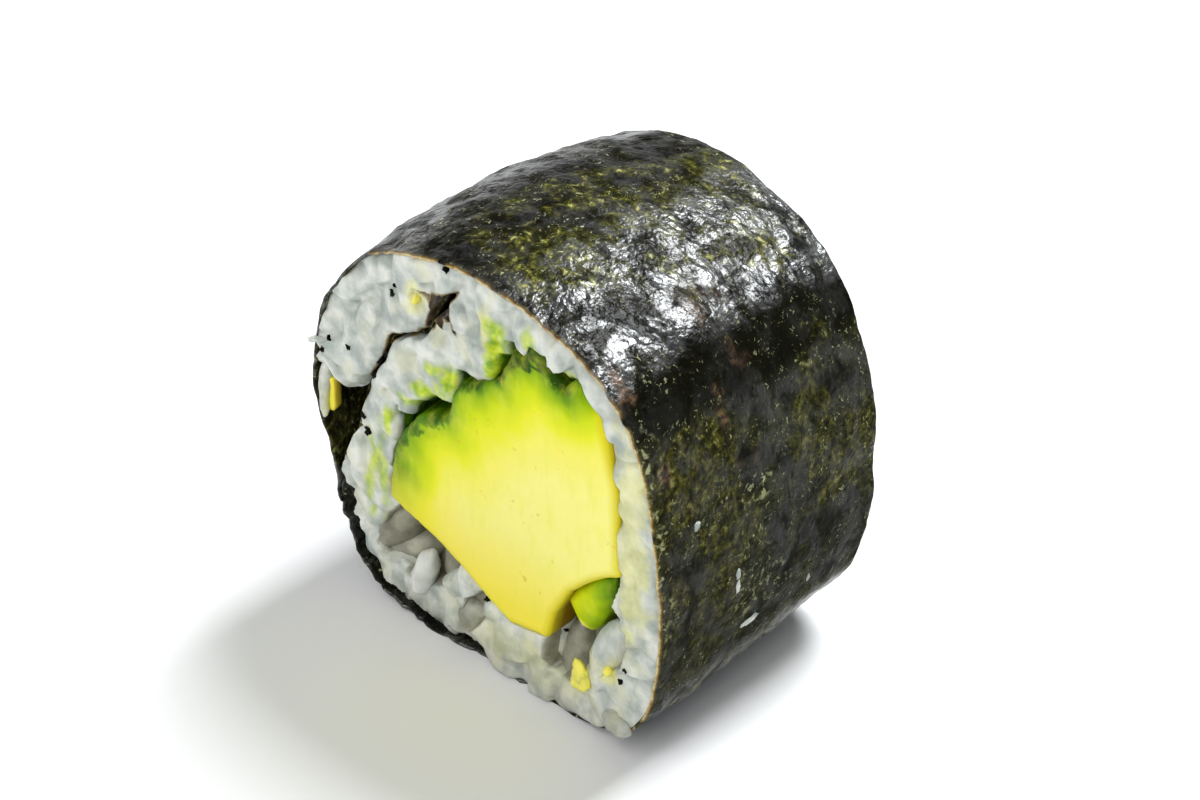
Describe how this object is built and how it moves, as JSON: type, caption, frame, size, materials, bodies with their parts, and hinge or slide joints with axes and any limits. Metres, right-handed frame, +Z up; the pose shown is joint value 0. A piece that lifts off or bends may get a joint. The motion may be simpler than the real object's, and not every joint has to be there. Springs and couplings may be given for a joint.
{
  "type": "avocado maki",
  "caption": "Cut piece of sushi roll lying on its side, with seaweed round pressed rice and an avocado wedge.",
  "frame": {"origin": "middle of the roll's underside, on the surface that it lies on", "axes": "+Y along the roll from the cut face looked at to the other one, +X to the right of that face, +Z up"},
  "size_m": [0.034, 0.023, 0.0322],
  "materials": {
    "nori": "crinkled seaweed with a moist sheen",
    "rice": "moist, translucent, lightly pressed",
    "avocado": "soft, moist, cut smooth"
  },
  "bodies": {
    "root": {"nori_sheet": "nori", "rice": "rice", "avocado_wedge": "avocado", "avocado_sliver": "avocado"}
  },
  "joints": []
}
